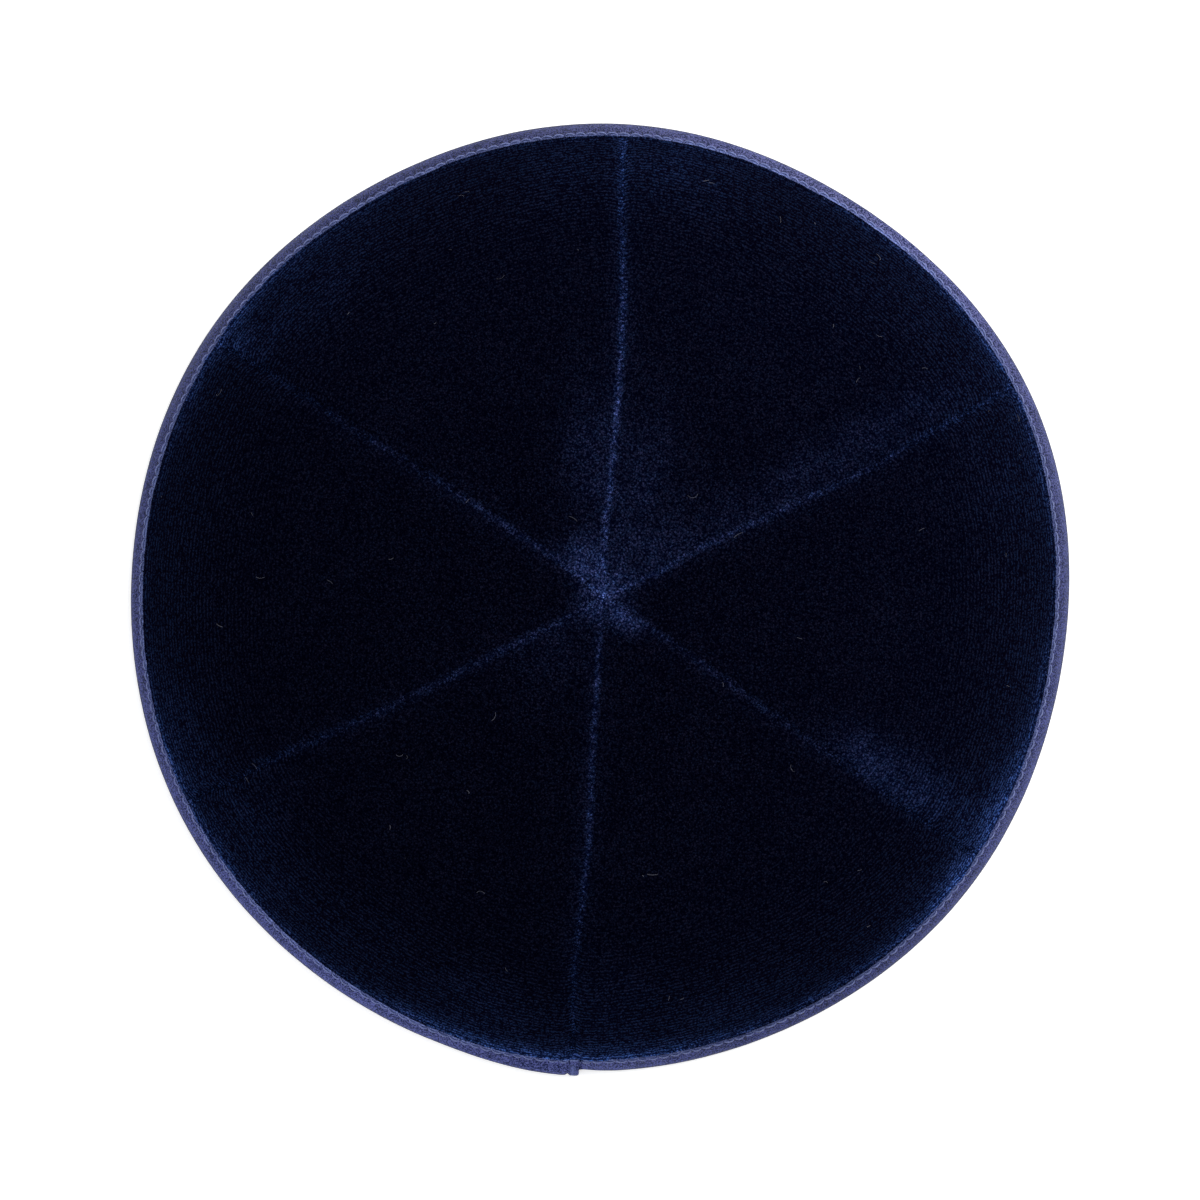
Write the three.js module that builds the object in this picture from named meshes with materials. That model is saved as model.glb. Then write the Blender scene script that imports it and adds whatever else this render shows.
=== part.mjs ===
// A kippah of six velvet gores with a strip of leather bound round its rim, in millimetres.
// +Z is up and the kippah stands on its rim at z = 0. Seen from above, +X is right and +Y is up.
import * as THREE from 'three';

// The whole kippah
const OUTER_DIAMETER = 175;
const HEIGHT = 65;
const CLEARANCE = 0.3;

// The crown's dome, an ellipse turned round the vertical axis
const DOME_REACH = THREE.MathUtils.degToRad(72);
const EDGE_Z = 3.3;
const EDGE_INSET = 2.15;
const APEX_X = 0.6;
const APEX_Y = -0.2;

// The gores' cloth
const WALL = 1.8;
const ALLOWANCE = 1.2;
const ALLOWANCE_WIDTH = 6.2;
const ALLOWANCE_STOPS_AT = 0.9;
const TIP_RADIUS = 0.9;
const GORE_ROWS = 13;
const ROW_EASE = 1.15;
const MIDDLE_COLUMNS = 7;

// The binding strip
const STRIP = 1.0;
const STRIP_HEIGHT = 7.2;
const STRIP_CORNER = 0.9;
const STRIP_STEPS = 84;
const LAP_END_DEG = 267.5;
const LAP_LENGTH_DEG = 8;
const LAP_SWELL_DEG = 9.5;
const LAP_SETTLE_DEG = 5;
const TAIL_THICKNESS = 0.4;
const TAIL_THINNED_DEG = 14;
const LAP_EDGE_THICKNESS = 0.7;

const VELVET_COLOUR = 0x070912;
const LEATHER_COLOUR = 0x4a4d78;

// The outline isn't a true circle: each lobe swells it by a share of its radius.
const OUTLINE_LOBES = [
  { count: 2, share: 0.0036, peakDeg: 63 },
  { count: 3, share: 0.0027, peakDeg: 21 },
  { count: 4, share: 0.0017, peakDeg: 26 },
  { count: 5, share: 0.0018, peakDeg: 21 },
];

// The gores are flatter than a ball, so the crown is a soft hexagon with its corners on the seams.
const HEXAGON = { count: 6, rimShare: 0.0035, shoulderShare: 0.01, peakDeg: 25 };

// The seams, with how far each strays sideways (mm, counterclockwise) from its straight route
// at a quarter, a half and three quarters of the way out, and at the rim.
const SEAMS = [
  { angleDeg: -32.5, quarter: -0.3, half: -1.6, threeQuarters: -2.8, rim: -3.2 },
  { angleDeg: 27.5, quarter: -0.1, half: -1.3, threeQuarters: -1.0, rim: -0.8 },
  { angleDeg: 87, quarter: -0.3, half: -1.0, threeQuarters: -0.4, rim: 0.2 },
  { angleDeg: 147.5, quarter: -1.4, half: -1.7, threeQuarters: -1.9, rim: -1.7 },
  { angleDeg: 207.5, quarter: 0.0, half: -0.2, threeQuarters: -1.5, rim: -1.6 },
  { angleDeg: 267, quarter: -0.3, half: -0.2, threeQuarters: -1.0, rim: -0.6 },
];

// Across a gore, from its seam inwards: the velvet dips into the seam, and inside
// the allowance lies open beside it. A station is never further in than its share of the width.
const SEAM_STATIONS = [
  { fromSeam: 0.0, mostShare: 0.0, dip: 1.1, allowance: ALLOWANCE },
  { fromSeam: 0.7, mostShare: 0.06, dip: 0.5, allowance: ALLOWANCE },
  { fromSeam: 2.0, mostShare: 0.14, dip: 0.05, allowance: ALLOWANCE },
  { fromSeam: ALLOWANCE_WIDTH, mostShare: 0.3, dip: 0.0, allowance: ALLOWANCE },
  { fromSeam: ALLOWANCE_WIDTH + 0.7, mostShare: 0.34, dip: 0.0, allowance: 0.0 },
];

// The dome's two half axes follow from the outline, the height and how far round it reaches.
const DOME_ACROSS = (OUTER_DIAMETER / 2 - EDGE_INSET) / Math.sin(DOME_REACH);
const DOME_UP = (HEIGHT - EDGE_Z) / (1 - Math.cos(DOME_REACH));
const RIM_SLOPE = Math.atan2(DOME_UP * Math.sin(DOME_REACH), DOME_ACROSS * Math.cos(DOME_REACH));
const MM_PER_ARC_AT_RIM = DOME_REACH * Math.hypot(
  DOME_UP * Math.sin(DOME_REACH),
  DOME_ACROSS * Math.cos(DOME_REACH),
);

const { degToRad, smoothstep, lerp, clamp } = THREE.MathUtils;

function lobe(angle, count, peakDeg) {
  return Math.cos(count * (angle - degToRad(peakDeg)));
}

// How much wider than a round dome the crown is, as a share of its radius. arc runs from
// 0 at the top to 1 at the gores' lower edge.
function swelling(arc, angle) {
  let share = 0;
  for (const { count, share: most, peakDeg } of OUTLINE_LOBES) {
    share += most * arc * arc * lobe(angle, count, peakDeg);
  }
  const hexagon = HEXAGON.rimShare * arc + HEXAGON.shoulderShare * Math.sin(Math.PI * Math.min(arc, 1));
  return share + hexagon * lobe(angle, HEXAGON.count, HEXAGON.peakDeg);
}

// A point of the crown: depth is how far it lies inside the velvet's outer face.
function crownPoint(arc, angle, depth) {
  const polar = arc * DOME_REACH;
  const normal = new THREE.Vector2(DOME_UP * Math.sin(polar), DOME_ACROSS * Math.cos(polar)).normalize();
  const radius = DOME_ACROSS * Math.sin(polar) * (1 + swelling(arc, angle)) - depth * normal.x;
  const z = EDGE_Z + DOME_UP * (Math.cos(polar) - Math.cos(DOME_REACH)) - depth * normal.y;
  const towardsTop = 1 - arc * arc;
  return new THREE.Vector3(
    radius * Math.cos(angle) + APEX_X * towardsTop,
    radius * Math.sin(angle) + APEX_Y * towardsTop,
    z,
  );
}

function radiusAt(arc) {
  return DOME_ACROSS * Math.sin(arc * DOME_REACH);
}

// The angle of a seam at a place on the dome, with its sway.
const SWAY_PLACES = [0, 0.25, 0.5, 0.75, 1];
function seamAngle(seam, arc) {
  const sways = [0, seam.quarter, seam.half, seam.threeQuarters, seam.rim];
  const curve = new THREE.CubicInterpolant(SWAY_PLACES, sways, 1);
  const radius = radiusAt(arc);
  const sway = curve.evaluate(radius / radiusAt(1))[0];
  return degToRad(seam.angleDeg) + sway / radius;
}

// A closed solid from two matching grids of points, its outer face and its inner face.
function sheetSolid(outerRows, innerRows) {
  const rowCount = outerRows.length;
  const columnCount = outerRows[0].length;
  const points = [...outerRows.flat(), ...innerRows.flat()];
  const outer = (row, column) => row * columnCount + column;
  const inner = (row, column) => (rowCount + row) * columnCount + column;
  const index = [];
  const quad = (a, b, c, d) => index.push(a, b, c, a, c, d);
  for (let row = 0; row < rowCount - 1; row += 1) {
    for (let column = 0; column < columnCount - 1; column += 1) {
      quad(outer(row, column), outer(row + 1, column), outer(row + 1, column + 1), outer(row, column + 1));
      quad(inner(row, column), inner(row, column + 1), inner(row + 1, column + 1), inner(row + 1, column));
    }
    const last = columnCount - 1;
    quad(outer(row, 0), inner(row, 0), inner(row + 1, 0), outer(row + 1, 0));
    quad(outer(row, last), outer(row + 1, last), inner(row + 1, last), inner(row, last));
  }
  for (let column = 0; column < columnCount - 1; column += 1) {
    const last = rowCount - 1;
    quad(outer(0, column), outer(0, column + 1), inner(0, column + 1), inner(0, column));
    quad(outer(last, column), inner(last, column), inner(last, column + 1), outer(last, column + 1));
  }
  const geometry = new THREE.BufferGeometry().setFromPoints(points);
  geometry.setIndex(index);
  geometry.computeVertexNormals();
  return geometry;
}

// The places of a gore's columns across one row, each with the dip of its outer face
// and the extra cloth on its inner face.
function goreColumns(width) {
  const near = SEAM_STATIONS.map(({ fromSeam, mostShare, dip, allowance }) => ({
    place: Math.min(fromSeam, mostShare * width),
    dip,
    allowance,
  }));
  const far = near.map((station) => ({ ...station, place: width - station.place })).reverse();
  const start = near[near.length - 1].place;
  const end = far[0].place;
  const middle = [];
  for (let step = 1; step <= MIDDLE_COLUMNS; step += 1) {
    middle.push({ place: lerp(start, end, step / (MIDDLE_COLUMNS + 1)), dip: 0, allowance: 0 });
  }
  return [...near, ...middle, ...far];
}

// One gore, between two seams. Where it is too narrow for two allowances side by side,
// near the tip, they fill its whole width.
function goreGeometry(firstSeam, secondSeam) {
  const tipArc = Math.asin(TIP_RADIUS / DOME_ACROSS) / DOME_REACH;
  const outerRows = [];
  const innerRows = [];
  for (let row = 0; row <= GORE_ROWS; row += 1) {
    const arc = lerp(tipArc, 1, (row / GORE_ROWS) ** ROW_EASE);
    const radius = radiusAt(arc);
    const inset = CLEARANCE / 2 / radius;
    const start = seamAngle(firstSeam, arc) + inset;
    const end = seamAngle(secondSeam, arc) - inset;
    const width = (end - start) * radius;
    const crowded = 1 - smoothstep(width, 2 * ALLOWANCE_WIDTH, 3 * ALLOWANCE_WIDTH);
    const columns = goreColumns(width);
    const allowed = arc < ALLOWANCE_STOPS_AT ? 1 : 0;
    outerRows.push(columns.map(({ place, dip }) => crownPoint(arc, start + place / radius, dip)));
    innerRows.push(columns.map(({ place, allowance }) => {
      const extra = allowed * Math.max(allowance, crowded * ALLOWANCE);
      return crownPoint(arc, start + place / radius, WALL + extra);
    }));
  }
  return sheetSolid(outerRows, innerRows);
}

// Follows the wall's slope from a point at the rim down to a height, and then inwards.
function runDown(point, angle, z, inwards) {
  const outwards = (point.z - z) / Math.tan(RIM_SLOPE) - inwards;
  return new THREE.Vector3(
    point.x + outwards * Math.cos(angle),
    point.y + outwards * Math.sin(angle),
    z,
  );
}

// One face of the strip in one cross-section: down the inside of the wall, under its edge
// and up the outside. standOff is how far the face stands from the cloth.
function stripFace(angle, standOff, bottomZ, corner) {
  const topArc = 1 - (STRIP_HEIGHT - EDGE_Z / Math.sin(RIM_SLOPE)) / MM_PER_ARC_AT_RIM;
  const outerEdge = crownPoint(1, angle, -standOff);
  const innerEdge = crownPoint(1, angle, WALL + standOff);
  return [
    crownPoint(topArc, angle, WALL + standOff),
    innerEdge,
    runDown(innerEdge, angle, bottomZ + corner, 0),
    runDown(innerEdge, angle, bottomZ, -corner),
    runDown(outerEdge, angle, bottomZ, corner),
    runDown(outerEdge, angle, bottomZ + corner, 0),
    outerEdge,
    crownPoint(topArc, angle, -standOff),
  ];
}

// The strip begins under its own lap, thinned so that the lap lies nearly flat, goes once
// round the rim and ends on top of its beginning.
function bindingGeometry() {
  const beginDeg = LAP_END_DEG - LAP_LENGTH_DEG;
  const endDeg = LAP_END_DEG + 360;
  const tailThickness = (runDeg) => lerp(
    TAIL_THICKNESS,
    STRIP,
    clamp((runDeg - beginDeg) / TAIL_THINNED_DEG, 0, 1),
  );
  const outerRows = [];
  const innerRows = [];
  for (let step = 0; step <= STRIP_STEPS; step += 1) {
    const runDeg = lerp(beginDeg, endDeg, step / STRIP_STEPS);
    const angle = degToRad(runDeg);
    const lapping = clamp((runDeg - (beginDeg + 360)) / LAP_LENGTH_DEG, 0, 1);
    const thickness = tailThickness(runDeg) - lapping * (STRIP - LAP_EDGE_THICKNESS);
    const swell = smoothstep(runDeg, beginDeg + 360 - LAP_SWELL_DEG, beginDeg + 360);
    const overTail = tailThickness(Math.max(runDeg - 360, beginDeg)) + CLEARANCE;
    const standOff = CLEARANCE + swell * overTail;
    const tucked = 1 - smoothstep(runDeg, LAP_END_DEG, LAP_END_DEG + LAP_SETTLE_DEG);
    const bottomZ = tucked * (STRIP + CLEARANCE);
    outerRows.push(stripFace(angle, standOff + thickness, bottomZ, STRIP_CORNER));
    innerRows.push(stripFace(angle, standOff, bottomZ + thickness, STRIP_CORNER / 2));
  }
  return sheetSolid(outerRows, innerRows);
}

function namedMesh(name, geometry, material) {
  const mesh = new THREE.Mesh(geometry, material);
  mesh.name = name;
  return mesh;
}

const velvet = new THREE.MeshStandardMaterial({ color: VELVET_COLOUR, roughness: 0.9, metalness: 0 });
const leather = new THREE.MeshStandardMaterial({ color: LEATHER_COLOUR, roughness: 0.6, metalness: 0 });

const kippah = new THREE.Group();
SEAMS.forEach((seam, number) => {
  const wraps = number === SEAMS.length - 1;
  const next = SEAMS[(number + 1) % SEAMS.length];
  const nextSeam = wraps ? { ...next, angleDeg: next.angleDeg + 360 } : next;
  kippah.add(namedMesh(`crown_panel_${number + 1}`, goreGeometry(seam, nextSeam), velvet));
});
kippah.add(namedMesh('rim_binding', bindingGeometry(), leather));

export default kippah;
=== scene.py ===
"""A navy velvet kippah of six gores with a leather strip bound round its rim.

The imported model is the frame: every piece below stands where its solid stands, in metres.
Seen from above, +X is right and +Y is up. Lengths are given in millimetres times MM.
"""
import math
from itertools import product

import bmesh
import bpy
import numpy as np
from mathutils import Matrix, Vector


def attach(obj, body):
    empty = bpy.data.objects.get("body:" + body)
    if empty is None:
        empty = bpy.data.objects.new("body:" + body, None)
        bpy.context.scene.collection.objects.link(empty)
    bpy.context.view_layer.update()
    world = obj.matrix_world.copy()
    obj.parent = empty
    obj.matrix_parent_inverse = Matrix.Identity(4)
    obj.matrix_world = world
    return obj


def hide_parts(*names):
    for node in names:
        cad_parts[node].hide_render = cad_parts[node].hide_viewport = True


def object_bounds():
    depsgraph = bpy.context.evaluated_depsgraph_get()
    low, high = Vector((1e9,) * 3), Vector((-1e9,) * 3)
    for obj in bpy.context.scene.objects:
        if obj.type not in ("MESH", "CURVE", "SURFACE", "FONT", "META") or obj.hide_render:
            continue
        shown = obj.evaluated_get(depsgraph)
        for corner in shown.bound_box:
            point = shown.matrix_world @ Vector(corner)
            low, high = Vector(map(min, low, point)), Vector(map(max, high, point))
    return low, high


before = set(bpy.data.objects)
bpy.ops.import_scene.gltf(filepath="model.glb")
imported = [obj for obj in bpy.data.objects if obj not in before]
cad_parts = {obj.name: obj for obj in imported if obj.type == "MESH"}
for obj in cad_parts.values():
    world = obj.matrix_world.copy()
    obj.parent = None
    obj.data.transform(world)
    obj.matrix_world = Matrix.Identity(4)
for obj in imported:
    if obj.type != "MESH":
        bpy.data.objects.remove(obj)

CAD_LOW, CAD_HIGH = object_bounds()

MM = 0.001
TURN = 2 * math.pi
radians = math.radians


def table(columns, *rows):
    """A list of rows, each with its values under the named columns."""
    names = columns.split()
    return [dict(zip(names, row)) for row in rows]


# The whole kippah: its height is the frame's.
HEIGHT = CAD_HIGH.z
OUTER_RADIUS = 87.5 * MM

# A point inside the hollow, from which outwards is measured
HOLLOW_MIDDLE = np.array([0, 0, 20]) * MM

# The crown's dome, an ellipse turned round the vertical axis
DOME_REACH = radians(72)
EDGE_Z = 3.3 * MM
EDGE_INSET = 2.15 * MM
APEX = (0.6 * MM, -0.2 * MM)
DOME_ACROSS = (OUTER_RADIUS - EDGE_INSET) / math.sin(DOME_REACH)
DOME_UP = (HEIGHT - EDGE_Z) / (1 - math.cos(DOME_REACH))
RIM_FALL = DOME_UP * math.sin(DOME_REACH)
RIM_SPREAD = DOME_ACROSS * math.cos(DOME_REACH)
RIM_SLOPE = math.atan2(RIM_FALL, RIM_SPREAD)
LENGTH_PER_ARC = DOME_REACH * math.hypot(RIM_FALL, RIM_SPREAD)
EDGE_UP_WALL = EDGE_Z / math.sin(RIM_SLOPE)

# The outline isn't a true circle, and the crown is a soft hexagon with its corners on the seams.
OUTLINE_LOBES = table(
    "count share peak",
    (2, 0.0036, radians(63)),
    (3, 0.0027, radians(21)),
    (4, 0.0017, radians(26)),
    (5, 0.0018, radians(21)),
)
HEXAGON = {"count": 6, "rim": 0.0035, "shoulder": 0.010, "peak": radians(25)}

# The cloth
WALL = 1.8 * MM
ALLOWANCE = 1.1 * MM
ALLOWANCE_WIDTH = 6.2 * MM
ALLOWANCE_STOPS_AT = 0.925
ALLOWANCE_SWELL = 0.22 * MM
SEAM_DIP = 0.55 * MM
SEAM_ROLL = 1.0 * MM
SEAM_ROUNDNESS = 1.6
SEAM_FILLED = 0.8
SEAM_FILLED_REACH = 3 * MM
SEAM_OVERLAP = 0.015 * MM
PUCKER_REACH = 3.5 * MM
DRAPE_FROM_SEAM = 12 * MM
PILE_PRESSED = 0.3 * MM
TIP_RADIUS = 0.03 * MM

# Each gore's grids: the columns' distances from a seam, the number of columns between them and
# the number of rows, for the velvet and for the back of the cloth. Where a gore is narrow, the
# columns near a seam keep to a share of its width.
NEAR_SEAM = np.array([0, 0.06, 0.16, 0.3, 0.45, 0.65, 0.9, 1.2, 1.55, 2.0, 2.5, 3.1]) * MM
MIDDLE_COLUMNS = 128
GORE_ROWS = 236
BACK_NEAR = np.array([0, 1.5, 3.5, 5.6, 6.0, 6.3, 6.6]) * MM
BACK_MIDDLE = 34
BACK_ROWS = 84
NEAR_SHARE = 0.32

# The binding strip. Heights are measured up the wall from the surface that the kippah stands on,
# and the strip's faces outwards from the velvet. FAR_TOP is the number of the section's corner
# where the leg inside the kippah has its outer top.
STRIP_HEIGHT = 6.2 * MM
STRIP_OUTER = 1.3 * MM
STRIP_INNER = 0.12 * MM
STRIP_THICKNESS = 1.1 * MM
STRIP_LIFT = 0.02 * MM
LIP_SHARE = 0.3
LIP_RISE = 0.08 * MM
FAR_TOP = 17
# How much darker the strip is painted near the ground: a painted shadow
FOOT_PAINTED_SHADOW = 0.85

# The strip's first end is thinned, cut back and raised, and its last end laps over it, swells,
# and is creased and rounded off.
TAIL_THICKNESS = 0.5 * MM
TAIL_THINNED = radians(10)
TAIL_CUT_BACK = 2.2 * MM
TAIL_LIFT = 1.06 * MM
LAP_END = radians(267.5)
LAP_LENGTH = radians(8)
LAP_CLIMB = radians(9)
LAP_SETTLE = radians(5)
LAP_GAP = 0.06 * MM
LAP_SWELL = 0.88 * MM
LAP_SWELLS_FROM = radians(18.5)
LAP_SWELLS_TO = radians(1.5)
LAP_CREASE = 2.2 * MM
CREASE_DEPTH = 0.45 * MM
CREASE_WIDTH = 0.22 * MM
END_ROUND = 0.5 * MM
END_THINNED = 0.4 * MM
END_LIFT = 0.35 * MM
RUN_START = LAP_END - LAP_LENGTH
RUN_END = LAP_END + TURN

# The lockstitch along the strip. PRESSED is how far out the thread lies, as a share of the
# leather's thickness there. THREAD_SHARES is its thickness at STITCH_SHARES of a stitch.
STITCH_BELOW_EDGE = 0.6 * MM
STITCH_PITCH = 2.1 * MM
STITCH_PULL = 0.16 * MM
STITCH_RISE = 0.15 * MM
STITCH_SINKS = 0.5 * MM
STITCH_SLANT = 0.34 * MM
STITCH_SLANT_INSIDE = 0.1 * MM
STITCH_SHARES = np.array([0.02, 0.08, 0.2, 0.38, 0.62, 0.8, 0.92, 0.98])
THREAD_SHARES = np.array([0.55, 0.8, 0.95, 1, 1, 0.95, 0.8, 0.55])
THREAD_RADIUS = 0.17 * MM
THREAD_SIDES = 7
PRESSED = 0.46
STITCHES = round((TURN + LAP_LENGTH) * OUTER_RADIUS / STITCH_PITCH)
STITCHES_UNDER_LAP = 5
COLUMNS_PER_STITCH = 5
SAMPLES_PER_CORNER = 2

# The spikes of pile, rooted a little inside the velvet's face, and the lint
PILE_ROOT = -0.1 * MM
EDGE_PILE_COUNT = 9000
SEAM_PILE_COUNT = 1100
SEAM_PILE_RADIUS = 0.06 * MM
SPIKE_BEND = 0.18
SPIKE_POINTS = 7
LINT_COUNT = 64
LINT_LENGTH = 2.6 * MM
LINT_RAISED = 0.14 * MM
LINT_STEPS = 7
LINT_SIDES = 5

# The strip isn't of one width, and light and shade are painted on it round the rim. By angle:
# how much higher (mm) its edge runs than STRIP_HEIGHT, and the painted light and shade: how
# many times as light as usual its leather is, the blue in it, and how light its edge is.
STRIP_ROUND = table(
    "angle height shade blue line",
    (0, 0.85, 0.87, 1.10, 1.00),
    (15, 0.95, 0.98, 1.02, 1.08),
    (30, -0.05, 1.23, 0.93, 1.25),
    (45, -1.35, 1.72, 0.86, 2.10),
    (60, -0.85, 1.62, 0.82, 1.95),
    (75, -0.30, 1.36, 0.89, 1.75),
    (90, 0.45, 0.93, 0.96, 1.20),
    (105, -0.20, 0.80, 1.04, 1.20),
    (120, 0.75, 0.76, 1.12, 1.20),
    (135, 0.55, 0.73, 1.17, 1.15),
    (150, 0.85, 0.75, 1.20, 1.20),
    (165, -0.55, 0.90, 1.17, 1.50),
    (180, -0.45, 0.96, 1.14, 1.60),
    (195, -0.20, 1.12, 1.17, 1.80),
    (210, 0.35, 1.22, 1.19, 1.90),
    (225, -0.20, 1.42, 1.15, 2.20),
    (240, -0.25, 1.56, 1.12, 2.20),
    (255, -1.20, 1.36, 1.15, 1.80),
    (270, -0.70, 1.28, 1.17, 1.40),
    (285, -0.85, 0.84, 1.26, 0.90),
    (300, -0.75, 0.72, 1.34, 0.85),
    (315, 0.45, 0.74, 1.25, 0.90),
    (330, 1.15, 0.88, 1.17, 0.95),
    (345, 0.80, 0.93, 1.13, 1.00),
)

# Each seam: its angle, the half width (mm) of its light line of opened pile, with a painted
# sheen, how far it strays sideways (mm, counterclockwise) at SWAY_SHARES of the way out, and how
# brightly its painted sheen shows at GLOW_SHARES of the way out.
SWAY_SHARES = [0, 0.11, 0.23, 0.36, 0.49, 0.62, 0.74, 0.87, 1]
GLOW_SHARES = [0.1, 0.55, 0.75, 1]
SEAMS = table(
    "angle width sway glow",
    (-32.5, 0.56, [0, 0.1, -0.35, -0.85, -1.5, -2.1, -2.8, -3.15, -3.2], [0.18, 0.13, 0.12, 0.12]),
    (27.5, 0.56, [0, -0.5, -0.2, -0.75, -1.2, -1.6, -1.05, -0.9, -0.8], [0.40, 0.20, 0.20, 0.26]),
    (87.0, 0.54, [0, 0.3, -0.25, -0.7, -1.0, -0.95, -0.4, 0.1, 0.1], [0.57, 0.62, 0.39, 0.54]),
    (147.5, 0.55, [0, -1.2, -1.5, -1.75, -1.75, -1.55, -1.9, -1.85, -1.6], [0.36, 0.17, 0.12, 0.16]),
    (207.5, 0.62, [0, 0.3, 0.05, 0.0, -0.2, -0.75, -1.4, -1.4, -1.6], [0.25, 0.21, 0.20, 0.16]),
    (267.0, 0.48, [0, -0.2, -0.28, -0.37, -0.2, -0.6, -1.3, -1.1, -0.5], [0.34, 0.46, 0.27, 0.20]),
)

# Painted sheen where the nap leans to the light and looks lighter, gore by gore: an angle, a
# radius (mm), half sizes along and across that direction (mm) and a strength.
NAP_SHEEN_PATCHES = table(
    "gore angle radius along across lift",
    (1, -36, 4.6, 3.0, 1.4, 0.5),
    (1, 20, 2, 3, 3, 0.20),
    (1, -31.8, 55, 7, 4.2, 0.11),
    (1, -32.6, 68, 13, 5.8, 0.13),
    (1, -29, 84, 4, 10, 0.17),
    (1, 17, 77, 9, 11, 0.025),
    (1, -6, 80, 6, 14, 0.01),
    (2, 52, 1.5, 4.2, 5, 0.75),
    (2, 74, 21, 13, 6, 0.068),
    (2, 46, 14, 9, 8, 0.07),
    (2, 30.5, 46, 34, 4, 0.062),
    (2, 41, 79, 9, 18, 0.012),
    (2, 57, 60, 30, 26, 0.006),
    (2, 80, 79, 7, 10, 0.06),
    (3, 118, 3.5, 5, 4.5, 0.9),
    (3, 93, 24, 12, 5, 0.09),
    (3, 135, 79, 8, 18, 0.045),
    (3, 145.8, 81, 5, 3.5, 0.15),
    (3, 93, 78, 7, 8, 0.03),
    (4, 180, 1.5, 2.6, 3, 0.3),
    (4, 175, 77, 7, 30, 0.005),
    (4, 200, 81, 6, 13, 0.06),
    (5, 240, 1.5, 3, 3, 0.3),
    (5, 227, 13, 8, 8, 0.028),
    (5, 212, 77, 10, 6, 0.04),
    (5, 220, 78, 6, 10, 0.03),
    (5, 234, 76, 7, 12, 0.015),
    (5, 254, 78, 6, 10, 0.04),
    (6, -40, 4.9, 3.0, 2.0, 0.66),
    (6, 271, 75, 9, 7, 0.04),
    (6, 287, 79, 6, 14, 0.03),
    (6, -37, 84, 3, 7, 0.30),
)

# How brightly the painted sheen shows where the velvet meets the binding, by angle, and how
# far up (mm) from it
RIM_GLOW = table(
    "angle lift reach",
    (0, 0.08, 2.0),
    (30, 0.34, 2.5),
    (60, 0.08, 2.0),
    (90, 0.06, 2.0),
    (120, 0.09, 2.0),
    (150, 0.38, 2.8),
    (165, 0.12, 2.0),
    (190, 0.15, 2.0),
    (205, 0.52, 2.5),
    (235, 0.18, 2.5),
    (256, 0.90, 3.0),
    (272, 0.80, 3.2),
    (288, 0.38, 2.5),
    (305, 0.34, 2.5),
    (318, 0.62, 3.8),
    (336, 0.48, 5.0),
    (348, 0.30, 3.0),
)

# This brings the painted sheen strengths in these tables to the velvet material's own scale,
# whose 1 is the lightest fuzz of all.
NAP_SHEEN_SCALE = 0.42

# The fainter painted sheen beside the seams' light lines, and the two painted above the binding
HALO_SHARE = 0.08
HALO_WIDTH = 2.4 * MM
RIM_RING_REACH = 0.9 * MM
RIM_WIDE_REACH = 9 * MM

# The noises that keep shapes and tones from being even. Each layer is a strength (mm for a shape,
# else a share), the distance between bumps (mm) and the number of its pattern.
SEAM_JOGS = [(0.16, 5, 0), (0.07, 1.9, 3)]
PATCH_WANDER = [(0.6, 6, 2), (0.55, 2.2, 4)]
SEAM_FUZZ = [(1.0, 0.9, 6), (0.4, 4, 8)]
RIM_WANDER = [(0.6, 3, 12), (0.7, 1.1, 13)]
SEAM_PUCKERS = [(0.16, 4.2, 1)]
DRAPE = [(0.28, 26, 5)]
PILE_BUMPS = [(0.05, 2.1, 7), (0.035, 1.15, 9)]
PILED_UP = [(0.22, 1.1, 14), (0.12, 0.7, 17)]
BACK_BUMPS = [(0.1, 5, 15), (0.05, 2, 16)]
RAGGED_EDGE = [(0.30, 7, 21), (0.22, 2.5, 22), (0.10, 1.3, 23)]
STRIP_SLACK = [(0.1, 9, 24), (0.05, 3, 25)]
SPRUNG_EDGE = [(0.08, 4, 26)]
STITCH_SPACING = [(0.3, 8, 27)]
STITCH_TIGHTNESS = [(0.8, 5, 28)]
EDGE_PILE_PATCHES = [(0.6, 2.5, 31), (0.5, 8, 32)]

rng = np.random.default_rng(6)
LATTICE = rng.permutation(256)
GRADIENTS = rng.normal(size=(256, 3))
GRADIENTS /= np.linalg.norm(GRADIENTS, axis=1, keepdims=True)
PATTERN_STEP = np.array([17.3, 5.1, 11.7])
NOISE_GAIN = 1.7


def noise(points, cell, pattern=0):
    """Smooth noise, about -1 to 1, whose bumps are one cell apart."""
    spot = np.asarray(points, float) / cell + pattern * PATTERN_STEP
    corner = np.floor(spot).astype(int)
    part = spot - corner
    ease = part**3 * (part * (part * 6 - 15) + 10)
    total = np.zeros(spot.shape[:-1])
    for step in product((0, 1), repeat=3):
        x, y, z = np.moveaxis((corner + step) & 255, -1, 0)
        gradient = GRADIENTS[LATTICE[(LATTICE[(LATTICE[x] + y) & 255] + z) & 255]]
        weight = np.where(step, ease, 1 - ease).prod(-1)
        total += weight * ((part - step) * gradient).sum(-1)
    return NOISE_GAIN * total


def noises(points, layers):
    """The sum of several layers of noise."""
    return sum(strength * noise(points, cell * MM, pattern) for strength, cell, pattern in layers)


def ring_noises(run, layers):
    """Noise along the rim that is the same after a whole turn."""
    return noises(np.stack([np.cos(run), np.sin(run), 0 * run], -1) * OUTER_RADIUS, layers)


def smooth_step(value, low, high):
    """0 below low, 1 above high, and a smooth ramp between them."""
    share = np.clip((np.asarray(value, float) - low) / (high - low), 0, 1)
    return share * share * (3 - 2 * share)


def hump(value, width):
    """1 at 0, falling off smoothly to both sides."""
    return np.exp(-((value / width) ** 2))


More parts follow.
